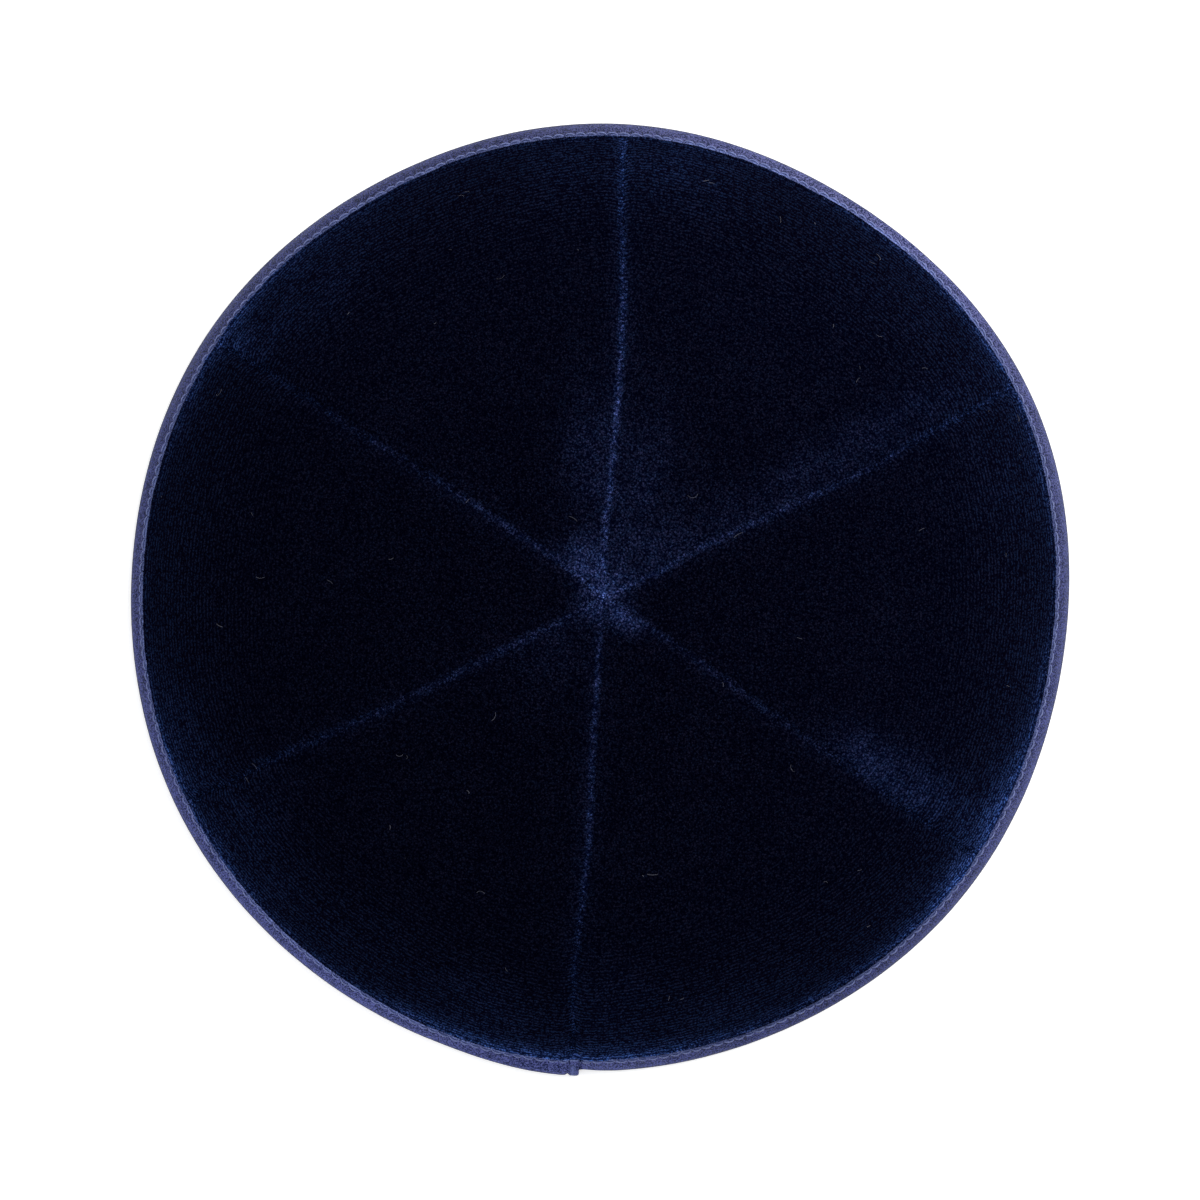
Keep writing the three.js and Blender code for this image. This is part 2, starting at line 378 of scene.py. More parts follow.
def smooth_curve(at, places, values):
    """A smooth curve through (places, values)."""
    places = np.asarray(places, float)
    values = np.asarray(values, float)
    slopes = np.gradient(values, places)
    at = np.clip(at, places[0], places[-1])
    index = np.clip(np.searchsorted(places, at) - 1, 0, len(places) - 2)
    span = places[index + 1] - places[index]
    t = (at - places[index]) / span
    return (
        values[index] * (2 * t**3 - 3 * t**2 + 1)
        + values[index + 1] * (3 * t**2 - 2 * t**3)
        + slopes[index] * span * (t**3 - 2 * t**2 + t)
        + slopes[index + 1] * span * (t**3 - t**2)
    )


def round_rim(rows, angle, column):
    """One column of a table by angle, smoothly all round the rim."""
    places = [row["angle"] for row in rows]
    values = [row[column] for row in rows]
    return smooth_curve(np.degrees(angle) % 360, places + [360], values + [values[0]])


def swelling(arc, angle):
    """How much wider than a round dome the crown is there, as a share of its radius."""
    hexagon = HEXAGON["rim"] * arc + HEXAGON["shoulder"] * np.sin(math.pi * np.minimum(arc, 1))
    share = hexagon * np.cos(HEXAGON["count"] * (angle - HEXAGON["peak"]))
    for lobe in OUTLINE_LOBES:
        share = share + lobe["share"] * arc**2 * np.cos(lobe["count"] * (angle - lobe["peak"]))
    return share


def radius_at(arc):
    """The round dome's radius there."""
    return DOME_ACROSS * np.sin(arc * DOME_REACH)


def crown_point(arc, angle, depth):
    """A point of the crown. arc runs from 0 at the top to 1 at the gores' lower edge, and depth
    is how far the point lies inside the velvet's outer face."""
    arc, angle, depth = np.broadcast_arrays(*[np.asarray(v, float) for v in (arc, angle, depth)])
    polar = arc * DOME_REACH
    across, up = DOME_UP * np.sin(polar), DOME_ACROSS * np.cos(polar)
    length = np.hypot(across, up)
    radius = radius_at(arc) * (1 + swelling(arc, angle)) - depth * across / length
    z = EDGE_Z + DOME_UP * (np.cos(polar) - math.cos(DOME_REACH)) - depth * up / length
    towards_top = 1 - np.minimum(arc, 1) ** 2
    x = radius * np.cos(angle) + APEX[0] * towards_top
    y = radius * np.sin(angle) + APEX[1] * towards_top
    return np.stack([x, y, z], axis=-1)


def seam_angle(seam, arc):
    """The angle of a seam there, with its sway and the small jogs of its stitching."""
    radius = radius_at(arc)
    sway = smooth_curve(radius / radius_at(1), SWAY_SHARES, np.array(seam["sway"]) * MM)
    route = np.stack([radius, np.full_like(radius, seam["angle"] % 360), np.zeros_like(radius)], -1)
    jogs = noises(route, SEAM_JOGS) * MM * smooth_step(radius, 1 * MM, 6 * MM)
    return radians(seam["angle"]) + (sway + jogs) / np.maximum(radius, 1e-6)


def make_mesh(name, points, faces, materials, slots=None, attributes=None, sharp=radians(50)):
    """A smooth-shaded mesh object with closed faces turned outwards, and its point attributes."""
    mesh = bpy.data.meshes.new(name)
    mesh.from_pydata(np.asarray(points).tolist(), [], [list(map(int, face)) for face in faces])
    for material in materials:
        mesh.materials.append(material)
    if slots is not None:
        mesh.polygons.foreach_set("material_index", np.asarray(slots, np.int32))
    for label, values in (attributes or {}).items():
        values = np.asarray(values, np.float32)
        kind, field = ("FLOAT", "value") if values.ndim == 1 else ("FLOAT_VECTOR", "vector")
        mesh.attributes.new(label, kind, "POINT").data.foreach_set(field, values.ravel())
    shape = bmesh.new()
    shape.from_mesh(mesh)
    bmesh.ops.recalc_face_normals(shape, faces=shape.faces)
    shape.to_mesh(mesh)
    shape.free()
    mesh.polygons.foreach_set("use_smooth", np.ones(len(mesh.polygons), bool))
    mesh.set_sharp_from_angle(angle=sharp)
    piece = bpy.data.objects.new(name, mesh)
    bpy.context.scene.collection.objects.link(piece)
    return piece


def place(piece, slot, *nodes):
    """The piece rides on the kippah's one body, in place of solids if any. Its slot is not used."""
    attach(piece, "root")
    if nodes:
        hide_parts(*nodes)


# The sizes of the materials' patterns, and the depths of their bumps
TUFT_SIZE = 0.43 * MM
TIP_SIZE = 0.34 * MM
PILE_ROW = 0.85 * MM
PILE_TINT = 0.8 * MM
PILE_DRIFT = 9 * MM
PILE_DEPTH = 0.3 * MM
BACK_THREAD = 0.42 * MM
BACK_SLUB = 0.5 * MM
BACK_WEAR = 2.2 * MM
BACK_DEPTH = 0.09 * MM
LEATHER_CELL = 0.55 * MM
LEATHER_GRAIN = 0.32 * MM
LEATHER_CREASE = 1.3 * MM
LEATHER_PATCH = 3 * MM
LEATHER_BLOTCH = 3.5 * MM
GRAIN_BUMP = 0.12 * MM
CREASE_BUMP = 0.14 * MM
THREAD_PLY = 0.16 * MM
PLY_BUMP = 0.06 * MM
LINT_TONE = 3 * MM
GROUND_TONE = 120 * MM

# The distance between two bands of a wave texture at scale 1
WAVE_BAND = math.pi / 10


def connect(tree, made, inputs):
    """Gives a node's inputs, by name or number, their values or other nodes' outputs."""
    for key, value in inputs.items():
        if isinstance(value, bpy.types.NodeSocket):
            tree.links.new(value, made.inputs[key])
        else:
            made.inputs[key].default_value = value


def node(tree, kind, inputs=None, **settings):
    """A shader node with its own settings and its inputs."""
    made = tree.nodes.new("ShaderNode" + kind)
    for key, value in settings.items():
        setattr(made, key, value)
    connect(tree, made, inputs or {})
    return made


def maths(tree, operation, first, second=0.0, third=0.0):
    """The result of one operation on up to three values."""
    inputs = {0: first, 1: second, 2: third}
    return node(tree, "Math", inputs, operation=operation).outputs[0]


def multiplied(tree, first, *others):
    """The product of several values."""
    for other in others:
        first = maths(tree, "MULTIPLY", first, other)
    return first


def weighted(tree, *terms):
    """The sum of several values, each with its weight."""
    total = 0.0
    for value, weight in terms:
        total = maths(tree, "MULTIPLY_ADD", value, weight, total)
    return total


def remap(tree, value, low, high, to_low=0.0, to_high=1.0):
    """A smooth ramp of a value, from to_low at low to to_high at high."""
    inputs = {0: value, 1: low, 2: high, 3: to_low, 4: to_high}
    return node(tree, "MapRange", inputs, interpolation_type="SMOOTHSTEP").outputs[0]


def blend(tree, share, first, second):
    """The first colour where the share is 0, and the second where it is 1."""
    first, second = (
        colour if isinstance(colour, bpy.types.NodeSocket) else (*colour, 1)
        for colour in (first, second)
    )
    inputs = {0: share, 6: first, 7: second}
    return node(tree, "Mix", inputs, data_type="RGBA").outputs[2]


def scaled(tree, vector, factor):
    """A vector or colour, multiplied by another axis by axis, or by one value."""
    inputs = {0: vector, 1: factor}
    return node(tree, "VectorMath", inputs, operation="MULTIPLY").outputs[0]


def separate(tree, vector):
    """The three values of a vector."""
    return node(tree, "SeparateXYZ", {"Vector": vector}).outputs


def noise_node(tree, where, size, detail=2.0, roughness=0.5, distortion=0.0):
    """Noise whose bumps are size metres apart."""
    inputs = {
        "Vector": where,
        "Scale": 1 / size,
        "Detail": detail,
        "Roughness": roughness,
        "Distortion": distortion,
    }
    return node(tree, "TexNoise", inputs).outputs[0]


def cells(tree, where, size, feature):
    """The distance from the middle or the edge of cells of about that size."""
    inputs = {"Vector": where, "Scale": 1 / size}
    return node(tree, "TexVoronoi", inputs, feature=feature).outputs["Distance"]


def attribute(tree, name, output="Fac"):
    """A point attribute of the mesh."""
    return node(tree, "Attribute", attribute_name=name).outputs[output]


def coordinates(tree, output="Object"):
    """The place on the object, or its normal."""
    return node(tree, "TexCoord").outputs[output]


def bump(tree, height, distance, strength, under=None):
    """A bumpy normal, on top of another one if that is given."""
    inputs = {"Height": height, "Distance": distance, "Strength": strength}
    if under is not None:
        inputs["Normal"] = under
    return node(tree, "Bump", inputs).outputs[0]


def velvet(tree):
    """Short navy pile, near black where it stands up, with a bluer painted sheen where the nap
    leans.
    """
    where = coordinates(tree)
    nap_sheen = attribute(tree, "nap_sheen")
    # The pile lies down the slope, so its clumps are longer that way.
    brushed = scaled(tree, where, (1, 1, 0.35))
    tufts = remap(tree, cells(tree, brushed, TUFT_SIZE, "F1"), 0.2, 0.66, 1.0, 0.0)
    across, along, out = separate(tree, attribute(tree, "cloth", "Vector"))
    lying_place = {
        "X": multiplied(tree, across, 0.5),
        "Y": weighted(tree, (out, 0.6), (along, 0.4)),
    }
    lying = node(tree, "CombineXYZ", lying_place).outputs[0]
    # Down the sides the pile lies in short rows across each gore. At the top it has no direction.
    upward = separate(tree, coordinates(tree, "Normal"))[2]
    steep = remap(tree, upward, 0.55, 0.92, 1.0, 0.0)
    both_tips = {
        0: steep,
        2: noise_node(tree, brushed, TIP_SIZE, 1.0, 0.6, 1.0),
        3: noise_node(tree, lying, TIP_SIZE, 1.0, 0.6, 1.0),
    }
    tips = node(tree, "Mix", both_tips, data_type="FLOAT").outputs[0]
    pile = weighted(tree, (remap(tree, tips, 0.43, 0.61), 0.55), (tufts, 0.65))
    drift = noise_node(tree, where, PILE_DRIFT, 3.0, 0.6, 0.3)
    drift = remap(tree, drift, 0.35, 0.68, 0.86, 1.12)
    bands = {
        "Vector": lying,
        "Scale": WAVE_BAND / PILE_ROW,
        "Distortion": 2.0,
        "Detail": 1.0,
        "Detail Scale": 2.0,
    }
    rows = node(tree, "TexWave", bands, bands_direction="Y").outputs["Fac"]
    rows = remap(tree, rows, 0.1, 0.9, -0.75, 0.65)
    rows = maths(tree, "MULTIPLY_ADD", rows, steep, 1.0)
    # Seen end-on, at the top, the standing pile swallows more of the light, so it is painted darker
    # there and lighter down the sides, as a painted sheen.
    side_on = remap(tree, upward, 0.3, 1.0, 1.16, 0.79)
    low_down = remap(tree, upward, 0.3, 0.75, 1.5, 1.0)
    clumping = remap(tree, upward, 0.35, 0.8, 2.4, 1.8)
    clumps = maths(tree, "POWER", pile, clumping)
    texture = multiplied(tree, clumps, drift, rows, multiplied(tree, side_on, low_down))

    tint = remap(tree, noise_node(tree, where, PILE_TINT, 2.0, 0.6), 0.42, 0.58)
    # Painted sheen: the colours have copies for the top and for the sides, which differ as the sheen
    # does, and where the nap attribute is high they are painted lighter and bluer.
    on_side = remap(tree, upward, 0.45, 0.75, 1.0, 0.0)
    unlit = blend(tree, on_side, (0.0001, 0.0001, 0.0022), (0.0009, 0.0003, 0.0018))
    deep = blend(tree, nap_sheen, unlit, (0.004, 0.012, 0.070))
    standing_top = blend(tree, tint, (0.0062, 0.0064, 0.0165), (0.0044, 0.0064, 0.0178))
    standing_side = blend(tree, tint, (0.0056, 0.0083, 0.0238), (0.0038, 0.0083, 0.0256))
    standing = blend(tree, on_side, standing_top, standing_side)
    leaning_sheen_top = blend(tree, tint, (0.250, 0.330, 0.985), (0.185, 0.330, 0.985))
    leaning_sheen_side = blend(tree, tint, (0.157, 0.296, 1.000), (0.117, 0.296, 1.000))
    leaning_sheen = blend(tree, steep, leaning_sheen_top, leaning_sheen_side)
    light = blend(tree, nap_sheen, standing, leaning_sheen)
    return {
        "Base Color": blend(tree, texture, deep, light),
        "Normal": bump(tree, pile, PILE_DEPTH, 0.8),
        "Roughness": 1.0,
        "Specular IOR Level": 0.0,
        "Sheen Weight": 0.006,
        "Sheen Roughness": 0.5,
        "Sheen Tint": (0.1, 0.24, 0.95, 1),
    }


def backing(tree):
    """The velvet's woven back, seen inside the kippah."""
    where = coordinates(tree)
    across, along, _ = separate(tree, attribute(tree, "cloth", "Vector"))
    pitch = math.pi / BACK_THREAD
    warp = maths(tree, "SINE", multiplied(tree, across, pitch))
    weft = maths(tree, "SINE", multiplied(tree, along, pitch))
    weave = multiplied(tree, warp, weft)
    wear = remap(tree, noise_node(tree, where, BACK_WEAR, 3.0, 0.6), 0.3, 0.7, 0.2, 0.7)
    slub = noise_node(tree, where, BACK_SLUB, 2.0, 0.6)
    share = weighted(tree, (weave, 0.22), (wear, 1.0), (slub, 0.3))
    height = maths(tree, "MULTIPLY_ADD", weave, 0.5, slub)
    return {
        "Base Color": blend(tree, share, (0.006, 0.008, 0.022), (0.020, 0.026, 0.066)),
        "Normal": bump(tree, height, BACK_DEPTH, 0.8),
        "Roughness": 0.85,
        "Specular IOR Level": 0.2,
        "Sheen Weight": 0.08,
        "Sheen Tint": (0.5, 0.6, 1, 1),
    }


def leather(tree):
    """Fine-grained slate-blue leather, lighter along its edge, with light and shade painted by
    angle.
    """
    where = coordinates(tree)
    grain = remap(tree, cells(tree, where, LEATHER_CELL, "DISTANCE_TO_EDGE"), 0.0, 0.2)
    fine = noise_node(tree, where, LEATHER_GRAIN, 2.0, 0.6, 0.2)
    blotch = noise_node(tree, where, LEATHER_BLOTCH, 3.0, 0.6, 0.4)
    creases = noise_node(tree, where, LEATHER_CREASE, 3.0, 0.65, 1.6)
    tone = maths(tree, "MULTIPLY_ADD", grain, 0.4, remap(tree, blotch, 0.3, 0.7, -0.1, 0.3))
    tone = maths(tree, "ADD", tone, remap(tree, fine, 0.36, 0.64, -0.8, 1.05))
    plain = blend(tree, tone, (0.002, 0.006, 0.036), (0.070, 0.078, 0.214))
    paler = blend(tree, tone, (0.004, 0.009, 0.056), (0.078, 0.090, 0.262))
    face = blend(tree, attribute(tree, "fold"), plain, paler)
    # Painted light and shade by angle round the rim, with a painted shadow at the strip's foot
    face = scaled(tree, face, attribute(tree, "shade", "Vector"))
    # The lighter edge, with light and shade painted on it by angle round the rim
    edge_and_painted_light = scaled(tree, (0.092, 0.118, 0.270), attribute(tree, "line"))
    patchy = remap(tree, noise_node(tree, where, LEATHER_PATCH), 0.38, 0.62, 0.55, 1.2)
    creased = remap(tree, creases, 0.3, 0.6, 0.3, 1.0)
    edge_mask = multiplied(tree, attribute(tree, "edge"), creased, patchy)
    soft = bump(tree, creases, CREASE_BUMP, 0.5)
    height = weighted(tree, (fine, 0.6), (grain, 0.7))
    return {
        "Base Color": blend(tree, edge_mask, face, edge_and_painted_light),
        "Normal": bump(tree, height, GRAIN_BUMP, 1.0, soft),
        "Roughness": remap(tree, fine, 0.3, 0.7, 0.52, 0.72),
        "Specular IOR Level": 0.1,
    }


def thread(tree):
    """Twisted polyester sewing thread, a little lighter than the leather."""
    plies = noise_node(tree, coordinates(tree), THREAD_PLY, 1.0, 0.5, 0.4)
    share = remap(tree, plies, 0.35, 0.65)
    colour = blend(tree, share, (0.062, 0.084, 0.222), (0.148, 0.184, 0.415))
    # Painted light and shade on the thread by angle round the rim, as on the leather's edge
    light = maths(tree, "MULTIPLY_ADD", attribute(tree, "line"), 0.3, 0.6)
    return {
        "Base Color": scaled(tree, colour, light),
        "Normal": bump(tree, plies, PLY_BUMP, 0.6),
        "Roughness": 0.5,
        "Specular IOR Level": 0.4,
    }


def lint(tree):
    """Grey fibres, some darker than others."""
    tone = remap(tree, noise_node(tree, coordinates(tree), LINT_TONE, 1.0), 0.35, 0.7)
    colour = blend(tree, tone, (0.014, 0.016, 0.032), (0.062, 0.064, 0.094))
    return {"Base Color": colour, "Roughness": 0.8}


def ground(tree):
    """White, and shining a little so that it stays white round the kippah."""
    tone = noise_node(tree, coordinates(tree), GROUND_TONE)
    return {
        "Base Color": blend(tree, tone, (0.93, 0.93, 0.93), (0.95, 0.95, 0.95)),
        "Roughness": 0.9,
        "Specular IOR Level": 0.1,
        "Emission Color": (1, 1, 1, 1),
        "Emission Strength": 0.42,
    }


def new_material(name, sockets):
    """A material whose shader gets the sockets that a function makes in its node tree."""
    material = bpy.data.materials.new(name)
    material.use_nodes = True
    tree = material.node_tree
    connect(tree, tree.nodes["Principled BSDF"], sockets(tree))
    return material


VELVET = new_material("velvet_pile", velvet)
BACKING = new_material("velvet_back", backing)
LEATHER = new_material("binding_leather", leather)
THREAD = new_material("stitch_thread", thread)
LINT = new_material("lint", lint)
GROUND = new_material("pale_floor", ground)


def nap_sheen_at(points, gore, seams, from_seams, way_out):
    """How far a gore's nap leans to the light, as a painted sheen: in its patches and opened seams.
    """
    x, y = points[..., 0] / MM, points[..., 1] / MM
    nap_sheen = np.zeros(x.shape)
    for patch in NAP_SHEEN_PATCHES:
        if patch["gore"] != gore:
            continue
        angle = radians(patch["angle"])
        along = x * math.cos(angle) + y * math.sin(angle) - patch["radius"]
        across = y * math.cos(angle) - x * math.sin(angle)
        spread = (along / patch["along"]) ** 2 + (across / patch["across"]) ** 2
        nap_sheen += patch["lift"] * np.exp(-spread)
    nap_sheen *= np.clip(0.95 + noises(points, PATCH_WANDER), 0.15, 2.0)
    fuzz = np.clip(1 + noises(points, SEAM_FUZZ), 0.05, 2.2)
    for seam, distance in zip(seams, from_seams):
        glow = np.interp(way_out, GLOW_SHARES, seam["glow"])
        nap_sheen += glow * fuzz * hump(distance, seam["width"] * MM)
        nap_sheen += HALO_SHARE * glow * hump(distance, HALO_WIDTH)
    return NAP_SHEEN_SCALE * nap_sheen


def strip_edge(angle):
    """How high up the wall the binding's edge runs, without its small bends."""
    return STRIP_HEIGHT + round_rim(STRIP_ROUND, angle, "height") * MM


def above_strip(points, arc):
    """The distance up the wall from the binding's edge."""
    angle = np.arctan2(points[..., 1], points[..., 0])
    return (1 - arc) * LENGTH_PER_ARC - (strip_edge(angle) - EDGE_UP_WALL)


def rim_sheen(points, arc):
    """The painted sheen on the velvet just above the binding."""
    angle = np.arctan2(points[..., 1], points[..., 0])
    lift = round_rim(RIM_GLOW, angle, "lift")
    reach = round_rim(RIM_GLOW, angle, "reach") * MM
    wander = np.clip(1 + noises(points, RIM_WANDER), 0.1, 2.2)
    above = np.maximum(above_strip(points, arc), 0)
    ring = (0.08 + 0.4 * np.minimum(lift, 0.4)) * np.exp(-above / RIM_RING_REACH)
    wide = (0.006 + 0.05 * lift) * np.exp(-above / RIM_WIDE_REACH)
    return NAP_SHEEN_SCALE * wander * (ring + lift * np.exp(-above / reach) + wide)


def gore_rows(first, second, rows, near, middle):
    """The arcs, angles and distances from both seams of a grid over one gore."""
    tip = math.asin(TIP_RADIUS / DOME_ACROSS) / DOME_REACH
    arc = np.linspace(tip, 1, rows + 1)[:, None]
    radius = radius_at(arc)
    start = seam_angle(first, arc)
    end = seam_angle(second, arc)
    room = (end - start) * radius + 2 * SEAM_OVERLAP
    squeeze = np.minimum(1, NEAR_SHARE * room / near[-1])
    left = near * squeeze
    right = room - near[::-1] * squeeze
    share = np.linspace(0, 1, middle + 2)[None, 1:-1]
    centre = left[:, -1:] + (right[:, :1] - left[:, -1:]) * share
    across = np.concatenate([left, centre, right], axis=1)
    angle = start + (across - SEAM_OVERLAP) / radius
    return arc, angle, across, room


def seam_dip(from_seam):
    """How deep the velvet's face lies beside a seam."""
    return SEAM_DIP * np.exp(-((from_seam / SEAM_ROLL) ** SEAM_ROUNDNESS))


def outer_relief(points, arc, across, room):
    """How far the velvet stands out: it dips into its seams, swells over the allowances,
    puckers beside the stitching, drapes a little and has a clumped pile. The binding presses
    it down and it piles up along the binding's edge."""
    from_seam = np.minimum(across, room - across)
    above = above_strip(points, arc)
    filled = 1 - SEAM_FILLED * np.exp(-np.maximum(above, 0) / SEAM_FILLED_REACH)
    relief = -filled * seam_dip(from_seam)
    beyond = smooth_step(from_seam, 4 * MM, 9 * MM)
    relief += ALLOWANCE_SWELL * smooth_step(from_seam, 0.3 * MM, 2.2 * MM) * (1 - beyond)
    relief += noises(points, SEAM_PUCKERS) * MM * np.exp(-from_seam / PUCKER_REACH)
    relief += noises(points, DRAPE) * MM * smooth_step(from_seam, 0, DRAPE_FROM_SEAM)
    relief += noises(points, PILE_BUMPS) * MM
    relief -= PILE_PRESSED * (1 - smooth_step(above, -1.3 * MM, -0.4 * MM))
    piled_up = np.clip(0.28 + noises(points, PILED_UP), 0, 1) * MM
    relief += piled_up * hump(above - 0.3 * MM, 0.8 * MM)
    return relief


def back_depth(points, arc, across, room):
    """How far inside the velvet's face the back of the cloth lies, with its allowances."""
    from_seam = np.minimum(across, room - across)
    turned = 1 - smooth_step(from_seam, ALLOWANCE_WIDTH - 0.5 * MM, ALLOWANCE_WIDTH + 0.2 * MM)
    crowded = 1 - smooth_step(room, 2 * ALLOWANCE_WIDTH, 3 * ALLOWANCE_WIDTH)
    stops = 1 - smooth_step(arc, ALLOWANCE_STOPS_AT - 0.02, ALLOWANCE_STOPS_AT)
    folded = ALLOWANCE * np.maximum(turned, crowded) * stops
    return WALL + folded + noises(points, BACK_BUMPS) * MM


def grid_faces(rows, columns, first=0):
    """The quads of a grid of points that are numbered row by row."""
    corner = first + np.arange(rows - 1)[:, None] * columns + np.arange(columns - 1)
    return np.stack([corner, corner + columns, corner + columns + 1, corner + 1], -1).reshape(-1, 4)


def zip_strip(first, second):
    """Triangles between two rows of points that may differ in number."""
    faces = []
    i = j = 0
    while i < len(first) - 1 or j < len(second) - 1:
        step_first = (i + 1) * (len(second) - 1) <= (j + 1) * (len(first) - 1)
        if j == len(second) - 1 or (i < len(first) - 1 and step_first):
            faces.append((first[i], first[i + 1], second[j]))
            i += 1
        else:
            faces.append((first[i], second[j + 1], second[j]))
            j += 1
    return faces


def border(rows, columns, first=0):
    """The four sides of a grid, each as a run of point numbers."""
    index = first + np.arange(rows * columns).reshape(rows, columns)
    return [index[:, 0], index[-1, :], index[::-1, -1], index[0, ::-1]]


def cloth_place(arc, across, room):
    """A point's place on its gore: across it, along it, and outwards as seen from above."""
    places = np.broadcast_arrays(across - room / 2, arc * LENGTH_PER_ARC, radius_at(arc))
    return np.stack(places, -1).reshape(-1, 3)


def make_gore(number):
    """One gore: its velvet face, the back of its cloth and the sides between them."""
    first = SEAMS[number]
    second = SEAMS[(number + 1) % len(SEAMS)]
    if number == len(SEAMS) - 1:
        second = {**second, "angle": second["angle"] + 360}

    arc, angle, across, room = gore_rows(first, second, GORE_ROWS, NEAR_SEAM, MIDDLE_COLUMNS)
    relief = outer_relief(crown_point(arc, angle, 0), arc, across, room)
    outer = crown_point(arc, angle, -relief)
    way_out = radius_at(arc) / radius_at(1)
    # The painted sheen of the nap: in the gore's patches, along its seams and above the binding
    nap_sheen = nap_sheen_at(outer, number + 1, (first, second), (across, room - across), way_out)
    nap_sheen = nap_sheen + rim_sheen(outer, arc)
    cloth = cloth_place(arc, across, room)

    arc, angle, across, room = gore_rows(first, second, BACK_ROWS, BACK_NEAR, BACK_MIDDLE)
    depth = back_depth(crown_point(arc, angle, WALL), arc, across, room)
    inner = crown_point(arc, angle, depth)
    back_cloth = cloth_place(arc, across, room)

    grid, back_grid = outer.shape[:2], inner.shape[:2]
    start = grid[0] * grid[1]
    pile_faces = grid_faces(*grid)
    back_faces = grid_faces(*back_grid, start)
    sides = []
    for near, far in zip(border(*grid), border(*back_grid, start)):
        sides += zip_strip(near, far)
    piece = make_mesh(
        f"velvet_gore_{number + 1}",
        np.concatenate([outer.reshape(-1, 3), inner.reshape(-1, 3)]),
        [*pile_faces, *back_faces[:, ::-1], *sides],
        [VELVET, BACKING],
        [0] * len(pile_faces) + [1] * (len(back_faces) + len(sides)),
        {
            "nap_sheen": np.concatenate([nap_sheen.ravel(), np.zeros(len(back_cloth))]),
            "cloth": np.concatenate([cloth, back_cloth]),
        },
    )
    place(piece, "velvet", f"crown_panel_{number + 1}")


for gore in range(len(SEAMS)):
    make_gore(gore)


def rounding(from_end):
    """A quarter circle's fall over the last half millimetre before the lap's end."""
    reach = np.clip(1 - from_end / END_ROUND, 0, 1)
    return 1 - np.sqrt(1 - reach**2)


def tail_thickness(run):
    """The strip's thickness near its first end, where it is thinned."""
    full = STRIP_OUTER - STRIP_INNER
    return TAIL_THICKNESS + (full - TAIL_THICKNESS) * np.clip((run - RUN_START) / TAIL_THINNED, 0, 1)


def strip_state(run):
    """The strip's faces at a place along its run: how far its inner face stands off the velvet,
    how far its outer face does, and how high its fold is above the ground."""
    over_tail = smooth_step(run, RUN_START + TURN - LAP_CLIMB, RUN_START + TURN)
    inner = STRIP_INNER + over_tail * (tail_thickness(run - TURN) + LAP_GAP)
    swell = smooth_step(run, RUN_END - LAP_SWELLS_FROM, RUN_END - LAP_SWELLS_TO)
    outer = STRIP_OUTER + LAP_SWELL * swell
    tail_outer = np.minimum(outer, STRIP_INNER + tail_thickness(run))
    outer = np.where(run < LAP_END + LAP_SETTLE, tail_outer, outer)
    # The lap is creased a little before its end, and the end itself is rounded off.
    from_end = (RUN_END - run) * OUTER_RADIUS
    outer -= CREASE_DEPTH * hump(from_end - LAP_CREASE, CREASE_WIDTH)
    outer -= END_THINNED * rounding(from_end)
    lift = STRIP_LIFT + TAIL_LIFT * (1 - smooth_step(run, LAP_END, LAP_END + LAP_SETTLE))
    lift += END_LIFT * rounding(from_end)
    return inner, outer, lift


def wall_point(height, angle, stand_off):
    """A point beside the wall, height up its slope from the ground."""
    arc = 1 - (height - EDGE_UP_WALL) / LENGTH_PER_ARC
    return crown_point(arc, angle, -stand_off)


def foot_point(angle, stand_off, z, inwards):
    """A point at height z on the line of the wall's face at that stand-off, moved inwards."""
    edge = crown_point(1, angle, -stand_off)
    out = (edge[..., 2] - z) / math.tan(RIM_SLOPE) - inwards
    x = edge[..., 0] + out * np.cos(angle)
    y = edge[..., 1] + out * np.sin(angle)
    return np.stack([x, y, z + 0 * out], -1)


def stitch_count(run):
    """The number of stitches up to a place along the run. They aren't all of one length."""
    even = (run - RUN_START) / (RUN_END - RUN_START) * STITCHES
    return even + ring_noises(run, STITCH_SPACING)


def stitch_pull(run):
    """About 1 at each needle hole, falling to 0 half way between two holes."""
    tight = np.clip(1 + ring_noises(run, STITCH_TIGHTNESS), 0.2, 1.8)
    return tight * (0.5 + 0.5 * np.cos(TURN * stitch_count(run))) ** 2


def strip_height(run):
    """The strip isn't cut quite evenly, and its edge is drawn in at each needle hole. Its first
    end is cut back where the lap covers it."""
    hidden = 1 - smooth_step(run, LAP_END - radians(0.2), LAP_END + radians(0.5))
    corner = rounding((RUN_END - run) * OUTER_RADIUS)
    drawn_in = STITCH_PULL * stitch_pull(run) + TAIL_CUT_BACK * hidden + END_ROUND * corner
    return strip_edge(run) + ring_noises(run, RAGGED_EDGE) * MM - drawn_in


